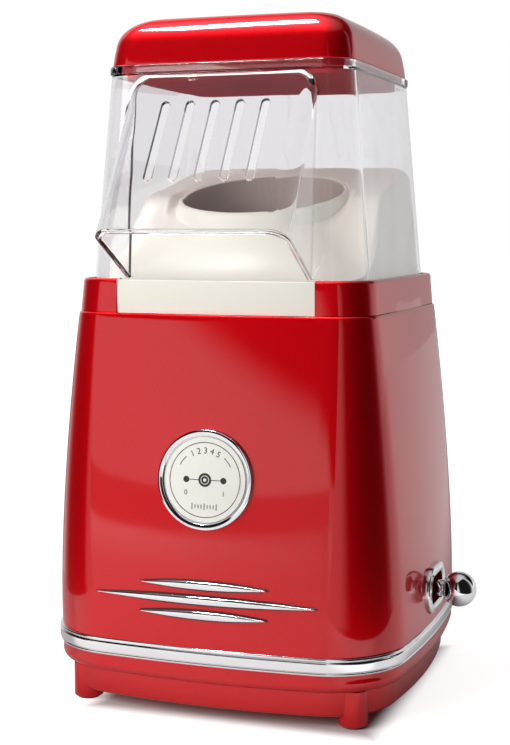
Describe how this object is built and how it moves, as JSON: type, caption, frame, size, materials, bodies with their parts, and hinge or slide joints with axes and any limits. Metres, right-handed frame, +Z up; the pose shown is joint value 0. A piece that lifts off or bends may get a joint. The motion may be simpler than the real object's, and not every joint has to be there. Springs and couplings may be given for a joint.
{
  "type": "popcorn maker",
  "caption": "Hot-air popcorn maker: tapering red tower, chrome band, round dial, clear lift-off hood with a slotted front chute, domed red cap, side lever with a ball.",
  "frame": {"origin": "middle of the overall box, on the table under the feet", "axes": "+Z up, -Y to the front where the chute is, +X to the lever's side"},
  "size_m": [0.2096, 0.2055, 0.342],
  "materials": {
    "red_plastic": "metallic red gloss",
    "chrome_trim": "bright plated",
    "ivory_plastic": "satin ivory",
    "clear_plastic": "clear polished",
    "dial_plate": "printed pale face",
    "black_plastic": "moulded black",
    "rubber_black": "matte",
    "steel_plain": "zinc plated",
    "chamber_aluminium": "spun",
    "copper_winding": "enamelled winding",
    "bronze": "sintered",
    "heater_wire": "oxidised wire",
    "mica_board": "layered",
    "magnet_ferrite": "ferrite",
    "board_green": "board"
  },
  "bodies": {
    "base": {"base_tray": "red_plastic", "foot_pads": "rubber_black", "base_screws": "steel_plain", "chrome_band": "chrome_trim", "body_shell": "red_plastic", "ivory_funnel": "ivory_plastic", "dial_bezel": "chrome_trim", "dial_face": "dial_plate", "badge_backing": "black_plastic", "badge_bars": "chrome_trim", "lever_escutcheon": "chrome_trim", "lever_pivot_pin": "steel_plain", "switch_bracket": "steel_plain", "switch_body": "black_plastic", "switch_screws": "steel_plain", "cord_gland": "black_plastic", "terminal_block": "ivory_plastic", "carrier_plate": "black_plastic", "carrier_screws": "steel_plain", "popping_chamber": "chamber_aluminium", "heat_sleeve": "steel_plain", "mica_frame": "mica_board", "heater_coil": "heater_wire", "thermostat": "steel_plain", "thermal_fuse": "steel_plain", "blower_housing": "black_plastic", "blower_cover": "black_plastic", "blower_screws": "steel_plain", "motor_bracket": "steel_plain", "motor_screws": "steel_plain", "motor_can": "steel_plain", "motor_end_cap": "black_plastic", "motor_bushings": "bronze", "field_magnets": "magnet_ferrite", "brush_card": "mica_board", "rectifier_board": "board_green", "rectifier_diodes": "black_plastic"},
    "hood": {"clear_hood": "clear_plastic"},
    "cap": {"cap_shell": "red_plastic", "cap_plug": "red_plastic"},
    "lever": {"lever_stem": "chrome_trim", "lever_collar": "chrome_trim", "ball_knob": "chrome_trim", "lever_arm": "black_plastic"},
    "slider": {"switch_slider": "ivory_plastic"},
    "rotor": {"motor_shaft": "steel_plain", "armature": "copper_winding", "commutator": "copper_winding", "impeller": "black_plastic"}
  },
  "joints": [
    {"name": "hood_lift", "type": "slide", "parent": "base", "child": "hood", "axis": [0, 0, 1], "range_m": [0, 0.08]},
    {"name": "cap_lift", "type": "slide", "parent": "hood", "child": "cap", "axis": [0, 0, 1], "range_m": [0, 0.04]},
    {"name": "lever_swing", "type": "hinge", "parent": "base", "child": "lever", "pos_m": [0.0518, 0.00916, 0.0525], "axis": [0, 0, 1], "range_deg": [-10, 10]},
    {"name": "switch_travel", "type": "slide", "parent": "base", "child": "slider", "axis": [0, 1, 0], "range_m": [-0.0022, 0.0022]},
    {"name": "rotor_spin", "type": "hinge", "parent": "base", "child": "rotor", "pos_m": [-0.0102, 0.00916, 0.06], "axis": [0, 0, 1], "continuous": true}
  ],
  "couplings": [
    {"joint": "switch_travel", "follows": "lever_swing", "m_per_rad": -0.012}
  ]
}
